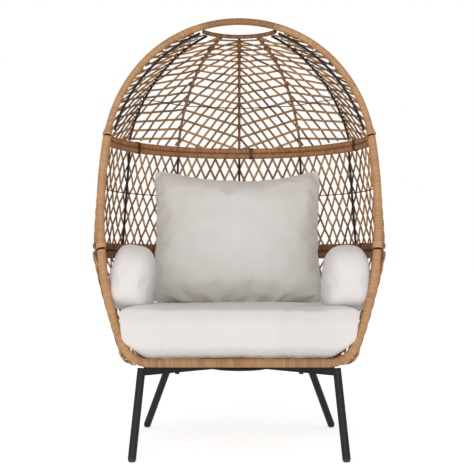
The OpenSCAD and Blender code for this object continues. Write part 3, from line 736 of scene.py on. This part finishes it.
def lower_point(degrees, q, lift):
    """Lower wall for q from 0 (waist) to 1 (corner), then turned in under the seat up to 1.25."""
    s = np.minimum(q, 1.0)
    r = WAIST_R + (WALL_LOW_R - WAIST_R) * s + 20 * s * (1 - s)
    yc = WALL_LOW_YC * s
    z = WALL_TOP + (WALL_LOW - WALL_TOP) * s
    turn = np.clip((q - 1) / 0.2, 0, 1) * np.pi / 2
    past = q > 1
    r = np.where(past, TUCK_R + (WALL_LOW_R - TUCK_R) * np.cos(turn), r)
    yc = np.where(past, WALL_LOW_YC + 9 * np.clip((q - 1) / 0.2, 0, 1), yc)
    z = np.where(past, WALL_LOW - 24 * np.sin(turn), z)
    out, down = np.cos(0.8 * turn), np.sin(0.8 * turn)
    degrees = np.broadcast_to(degrees, np.shape(q))
    around = circle_point(1.0, 0, degrees, 0) * (1, 1, 0)
    normals = around * out[:, None] - np.array((0, 0, 1.0)) * down[:, None]
    points = circle_point(r, yc, degrees, z) + normals * lift
    return points, normals


def make_lower_weave():
    b = Builder()
    q = np.linspace(-0.015, 1.2, 61)
    centre, _ = lower_point(np.zeros_like(q), q, 0)
    z = centre[:, 2]
    r = centre[:, 1] - np.where(q > 1, WALL_LOW_YC + 9 * (q - 1) / 0.2, WALL_LOW_YC * q)
    yc = centre[:, 1] - r
    half = np.degrees(np.arccos(np.clip((rim_y(z) + 7 - yc) / r, -1, 1)))
    rows = q * (WALL_TOP - WALL_LOW) / DIAMOND_H
    for lean_sign in (-1, 1):
        for p in range(-28, 29):
            degrees = DIAMOND * (p + lean_sign * rows)
            keep = np.abs(degrees) < half
            if keep.sum() < 3:
                continue
            points, normals = lower_point(degrees[keep], q[keep], RIB_D / 2 + 3.6)
            wave = lean_sign * WEAVE_LIFT * np.cos(np.pi * (2 * rows[keep] + 3 * p))
            strand(b, points + normals * wave[:, None], normals, tone=rng.uniform(0.15, 0.85))
    b.make("lower_lattice", STRANDS, replaces=("lower_weave",))
    b = Builder()
    for k in range(-3, 4):
        t = np.linspace(0, 1, 14)
        a = k * RIB_STEP
        top = circle_point(WAIST_R, 0, a, WALL_TOP - 1)
        corner = circle_point(WALL_LOW_R, WALL_LOW_YC, a, WALL_LOW)
        low = circle_point(TUCK_R, TUCK_YC, a, TUCK_Z)
        path = joined(bow(top, corner, 5, t), bow(corner, low, 7, t))
        tube(b, path, RIB_D / 2, 12)
    b.make("lower_rib_rods", BLACK, replaces=("lower_ribs",))


FLOOR_YC, FLOOR_R, FLOOR_TOP = -66.0, 330.0, 294.1


def make_floor_weave():
    """Diagonal strands over the floor hoop."""
    b = Builder()
    front = -RAIL_FRONT + RIM_D / 2 + 1
    reach = FLOOR_R - 3
    spacing, n = 26.0, 41
    for lean_sign in (-1, 1):
        d = unit((1, lean_sign, 0))
        side = np.array((-d[1], d[0], 0))
        for p in range(-13, 14):
            off = side * spacing * p
            chord = math.sqrt(max(0, reach ** 2 - (spacing * p) ** 2))
            if chord < 20:
                continue
            along = np.linspace(-chord, chord, n)
            points = np.array((0, FLOOR_YC, FLOOR_TOP)) + off + along[:, None] * d
            keep = points[:, 1] > front
            if keep.sum() < 3:
                continue
            wave = lean_sign * 1.1 * np.cos(np.pi * (along[keep] / spacing + p))
            points = points[keep] + wave[:, None] * np.array((0, 0, 1))
            strand(b, points, (0, 0, 1), tone=rng.uniform(0.1, 0.7))
    b.make("floor_lattice", STRANDS, replaces=("floor_weave",))


# ---- cushions ----
def evaluated(mesh, setup):
    """The mesh after the modifiers that setup adds to a working object that holds it."""
    work = bpy.data.objects.new("work", mesh)
    scene.collection.objects.link(work)
    setup(work)
    graph = bpy.context.evaluated_depsgraph_get()
    result = bpy.data.meshes.new_from_object(work.evaluated_get(graph))
    bpy.data.objects.remove(work)
    return result


def remeshed(node, shrink, voxel):
    """Voxel-remeshed copy of a CAD cushion, drawn in towards its middle by shrink metres."""
    low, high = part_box(node)
    middle = (low + high) / 2
    factor = [1 - 2 * shrink / (high[i] - low[i]) for i in range(3)]
    mesh = frame["nodes"][node].data.copy()
    for v in mesh.vertices:
        v.co = Vector([middle[i] + (v.co[i] - middle[i]) * factor[i] for i in range(3)])

    def setup(work):
        remesh = work.modifiers.new("remesh", "REMESH")
        remesh.mode = "VOXEL"
        remesh.voxel_size = voxel
        relax = work.modifiers.new("relax", "SMOOTH")
        relax.factor, relax.iterations = 0.5, 4
    return evaluated(mesh, setup)


def vertex_arrays(mesh):
    co = np.zeros(len(mesh.vertices) * 3)
    no = np.zeros(len(mesh.vertices) * 3)
    mesh.vertices.foreach_get("co", co)
    mesh.vertices.foreach_get("normal", no)
    return co.reshape(-1, 3), no.reshape(-1, 3)


def inflate(mesh, cap, pinned=None, slack=0.0, pressure=4.0, frames=20):
    """The cloth swells under pressure with no gravity; no point moves further than cap.

    pinned lists the vertices of a sewn edge that stay in place, and slack is how much wider
    the cloth is cut than the shape that it starts from, which is what wrinkles it.
    """
    start, _ = vertex_arrays(mesh)
    work = bpy.data.objects.new("cloth_work", mesh)
    scene.collection.objects.link(work)
    cloth = work.modifiers.new("cloth", "CLOTH")
    s = cloth.settings
    s.quality, s.mass = 5, 0.3
    s.tension_stiffness = s.compression_stiffness = 15
    s.shear_stiffness, s.bending_stiffness = 5, 0.5
    s.use_pressure, s.uniform_pressure_force = True, pressure
    s.shrink_min = -slack
    s.effector_weights.gravity = 0
    if pinned is not None:
        group = work.vertex_groups.new(name="seam")
        group.add([int(i) for i in pinned], 1.0, "REPLACE")
        s.vertex_group_mass = "seam"
    cloth.point_cache.frame_start, cloth.point_cache.frame_end = 1, frames
    for f in range(1, frames + 1):
        scene.frame_set(f)
    graph = bpy.context.evaluated_depsgraph_get()
    done = bpy.data.meshes.new_from_object(work.evaluated_get(graph))
    bpy.data.objects.remove(work)
    scene.frame_set(1)
    end, _ = vertex_arrays(done)
    if len(end) != len(start):
        return mesh
    move = end - start
    size = np.linalg.norm(move, axis=1)
    move *= np.minimum(1, cap / np.maximum(size, 1e-9))[:, None]
    done.vertices.foreach_set("co", (start + move).ravel())
    done.update()
    return done


def subdivided(mesh):
    def setup(work):
        work.modifiers.new("subdivide", "SUBSURF").levels = 1
    return evaluated(mesh, setup)


def ripple(points, scale, seed):
    """Smooth noise between -1 and 1 at each point, in metres."""
    scale = np.asarray(scale, float)
    return np.array([noise.noise(Vector(p * scale) + Vector((seed, seed * 1.7, seed * 0.3)))
                     for p in points])


def finish_cushion(mesh, name, body, node, groove):
    layer = mesh.attributes.new("groove", "FLOAT", "POINT")
    layer.data.foreach_set("value", np.asarray(groove, np.float32))
    mesh.materials.clear()
    piece = finish_piece(mesh, name, LINEN, body, (node,))


def two_sheets(n, edge_and_depth):
    """Closed mesh of a front and a back sheet sewn round their edge, and the edge's vertices.

    edge_and_depth(u, w) gives the local across, up and half thickness for u, w in -1 to 1.
    """
    g = np.sin(np.linspace(-np.pi / 2, np.pi / 2, n) * 0.9) / math.sin(np.pi * 0.45)
    u, w = np.meshgrid(g, g, indexing="ij")
    across, up, depth = edge_and_depth(u, w)
    front = np.stack((across, -depth, up), -1).reshape(-1, 3)
    back = np.stack((across, 0.8 * depth, up), -1).reshape(-1, 3)
    index = np.arange(n * n).reshape(n, n)
    rim = np.zeros((n, n), bool)
    rim[0, :] = rim[-1, :] = rim[:, 0] = rim[:, -1] = True
    behind = np.where(rim, index, 0)
    behind[~rim] = n * n + np.arange((~rim).sum())
    verts = np.concatenate((front, back[~rim.ravel()]))
    faces = []
    for sheet, order in ((index, 1), (behind, -1)):
        for i in range(n - 1):
            for j in range(n - 1):
                quad = (sheet[i, j], sheet[i + 1, j], sheet[i + 1, j + 1], sheet[i, j + 1])
                faces.append(tuple(int(v) for v in quad[::order]))
    return verts, faces, index[rim]


def placed(points, place, lean_x=0.0, lean_y=0.0):
    """Local millimetres turned back about X, then sideways about Y, and put in the row frame."""
    c, s = math.cos(lean_x), math.sin(lean_x)
    x, y, z = points[:, 0], points[:, 1], points[:, 2]
    y, z = c * y + s * z, c * z - s * y
    c, s = math.cos(lean_y), math.sin(lean_y)
    x, z = c * x + s * z, c * z - s * x
    return world(np.stack((x, y, z), 1) + np.asarray(place, float))


def plain_mesh(name, verts, faces):
    mesh = bpy.data.meshes.new(name)
    mesh.from_pydata(verts.tolist(), [], faces)
    mesh.update()
    return mesh


def back_shape(u, w):
    """Knife-edge pillow: sides nearly straight, a sagging top edge and a heavy lower half."""
    spread = 26 * smooth_step(-w, 0.5, 1.0)
    across = u * (293 + spread - 8 * (1 - w * w) - 9 * np.abs(w) ** 12)
    dip = np.where(w > 0, 42 * (1 - np.abs(u) ** 2.4) * np.abs(w) ** 3, 0)
    sag = np.where(w < 0, 14 * (1 - u * u) * np.abs(w) ** 3, 0)
    corner = np.where(w > 0, 12, 2) * np.abs(u) ** 12
    up = (236 + 5 * (w < 0)) * w - dip - sag - corner * w
    fade = np.clip(1 - np.abs(u) ** 2.8, 0, 1) ** 0.6 * np.clip(1 - np.abs(w) ** 2.6, 0, 1) ** 0.56
    return across, up, (104 - 20 * w) * fade


def make_back_pillow():
    verts, faces, seam = two_sheets(72, back_shape)
    uneven = ripple(verts, (0.02, 0.02, 0.02), 8.5)
    uneven[seam] = 0
    verts[:, 1] += 5 * uneven
    verts = placed(verts, (-7, 236, 689), math.radians(12))
    mesh = plain_mesh("back_pillow_soft", verts, faces)
    mesh = inflate(mesh, 0.011, seam, slack=0.04)
    mesh = subdivided(mesh)
    co, no = vertex_arrays(mesh)
    local = (co - co.mean(0)) / (0.29, 1, 0.23)
    edge = np.maximum(np.abs(local[:, 0]), np.abs(local[:, 2]))
    near_side = smooth_step(np.abs(local[:, 0]), 0.7, 0.98)
    pucker = ripple(co, (8, 14, 34), 1.3) * near_side * smooth_step(edge, 0.6, 0.95)
    low_folds = ripple(co, (20, 10, 9), 4.1) * smooth_step(-local[:, 2], 0.6, 0.95)
    broad = ripple(co, (4, 4, 4), 6.3)
    co = co + no * (0.004 * pucker + 0.003 * low_folds + 0.006 * broad)[:, None]
    mesh.vertices.foreach_set("co", co.ravel())
    finish_cushion(mesh, "back_pillow_soft", "back", "back_pillow", np.zeros(len(co)))


def arm_shape(u, w, half_width):
    """End of a stuffed arm pillow: a rounded block seen along its length."""
    r = np.maximum(np.abs(u), np.abs(w))
    power = 3.0 + 1.6 * smooth_step(-w, -0.2, 0.6)
    round_off = np.where(r > 0, (np.abs(u) ** power + np.abs(w) ** power) ** (1 / power), 1)
    squash = np.where(r > 0, r / np.maximum(round_off, 1e-6), 1)
    across, up = half_width * u * squash, 101 * w * squash
    depth = 124 * np.clip(1 - r ** 3.4, 0, 1) ** 0.42
    return across * (1 - 0.06 * w), up, depth


def make_arm_pillows():
    for side, label, lean, out, half_width in ((-1, "left", 7, 334, 67),
                                               (1, "right", -1, 336, 74)):
        verts, faces, seam = two_sheets(44, lambda u, w: arm_shape(u, w, half_width))
        verts = placed(verts, (side * out, -72, 542), 0.0, side * math.radians(-lean))
        mesh = plain_mesh("arm_" + label, verts, faces)
        mesh = subdivided(inflate(mesh, 0.006, seam, slack=0.03))
        co, no = vertex_arrays(mesh)
        broad = ripple(co, (9, 9, 9), 2.2 + side)
        creases = ripple(co, (30, 14, 22), 5.2 + side)
        co = co + no * (0.0045 * broad + 0.0016 * creases)[:, None]
        mesh.vertices.foreach_set("co", co.ravel())
        finish_cushion(mesh, "arm_pillow_soft_" + label, label + "_pillow",
                       "arm_pillow_" + label, np.zeros(len(co)))


def make_seat():
    """Boxed seat pad: soft edges, a crowned top and a front that presses over the rail."""
    node = "seat_cushion"
    mesh = subdivided(inflate(remeshed(node, 0.001, 0.008), 0.007))
    co, no = vertex_arrays(mesh)
    low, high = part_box(node)
    x, y, z = co[:, 0], co[:, 1], co[:, 2]
    near = 1 - smooth_step(y, low[1] + 0.004, low[1] + 0.09)
    face = smooth_step(z, low[2], low[2] + 0.04) * (1 - smooth_step(z, high[2] - 0.05, high[2]))
    y = y - 0.013 * near * face
    reach = near * smooth_step(np.abs(x), 0.20, 0.33)
    x = x + np.sign(x) * reach * (0.013 + 0.011 * (1 - smooth_step(z, 0.36, 0.43)))
    top = smooth_step(z, 0.40, 0.45)
    z = z - 0.006 * top * (1 - smooth_step(np.abs(x), 0.22, 0.29))
    co = np.stack((x, y, z), 1)
    folds = ripple(co, (24, 8, 6), 3.1) * near * smooth_step(0.30 - np.abs(x), 0.0, 0.2)
    broad = ripple(co, (5, 5, 5), 9.2)
    co = co + no * (0.0035 * folds + 0.004 * broad)[:, None]
    mesh.vertices.foreach_set("co", co.ravel())
    finish_cushion(mesh, "seat_pad", "seat", node, np.zeros(len(co)))


def make_cushions():
    make_seat()
    make_back_pillow()
    make_arm_pillows()


# ---- stage ----
FOCAL_PX, FRAME_PX = 958.0, 474.0
CAMERA_BACK, CAMERA_HEIGHT = 3100, 0.591
CAMERA_SHIFT_X, CAMERA_SHIFT_Y = -0.0047, 0.0527
AMBIENT, FLOOR_GLOW = 0.60, 0.52
FLOOR_HALF = 40.0


def make_camera():
    data = bpy.data.cameras.new("camera")
    data.sensor_width = 36.0
    data.lens = FOCAL_PX / FRAME_PX * data.sensor_width
    data.shift_x, data.shift_y = CAMERA_SHIFT_X, CAMERA_SHIFT_Y
    camera = bpy.data.objects.new("camera", data)
    camera.location = (0.0, (AXIS_Y - CAMERA_BACK) * MM, CAMERA_HEIGHT)
    camera.rotation_euler = (math.pi / 2, 0, 0)
    scene.collection.objects.link(camera)
    scene.camera = camera


def area_light(name, place, target, size, power):
    data = bpy.data.lights.new(name, "AREA")
    data.shape = "DISK"
    data.size = size
    data.energy = power
    light = bpy.data.objects.new(name, data)
    light.location = place
    aim = Vector(target) - Vector(place)
    light.rotation_euler = aim.to_track_quat("-Z", "Y").to_euler()
    scene.collection.objects.link(light)


def make_world():
    """White backdrop for the camera, a softer white as the light."""
    studio = bpy.data.worlds.new("studio")
    scene.world = studio
    studio.use_nodes = True
    nodes, links = studio.node_tree.nodes, studio.node_tree.links
    lit = nodes["Background"]
    lit.inputs["Color"].default_value = (1, 1, 1, 1)
    lit.inputs["Strength"].default_value = AMBIENT
    seen = nodes.new("ShaderNodeBackground")
    seen.inputs["Color"].default_value = (1, 1, 1, 1)
    seen.inputs["Strength"].default_value = 1.0
    mix = nodes.new("ShaderNodeMixShader")
    links.new(nodes.new("ShaderNodeLightPath").outputs["Is Camera Ray"], mix.inputs[0])
    links.new(lit.outputs[0], mix.inputs[1])
    links.new(seen.outputs[0], mix.inputs[2])
    links.new(mix.outputs[0], nodes["World Output"].inputs["Surface"])


def make_floor():
    mesh = bpy.data.meshes.new("floor")
    s = FLOOR_HALF
    mesh.from_pydata([(-s, -s, 0), (s, -s, 0), (s, s, 0), (-s, s, 0)], [], [(0, 1, 2, 3)])
    sh = Shader("studio_floor")
    mesh.materials.append(sh.out(Base_Color=(0.86, 0.86, 0.86, 1), Roughness=0.95,
                                 Specular_IOR_Level=0.0, Emission_Color=(1, 1, 1, 1),
                                 Emission_Strength=FLOOR_GLOW))
    floor = bpy.data.objects.new("floor", mesh)
    scene.collection.objects.link(floor)


def make_stage():
    make_world()
    make_floor()
    area_light("key", (-0.9, -4.4, 2.5), (0, 0, 0.75), 3.0, 78)
    area_light("fill", (0.9, -4.8, 0.6), (0, 0, 0.6), 2.6, 34)
    scene.view_settings.view_transform = "Standard"


make_camera()
make_stage()
dress_nodes()
make_rims()
make_hoops()
make_bindings()
make_dome_weave()
make_middle_weave()
make_lower_weave()
make_floor_weave()
make_cushions()
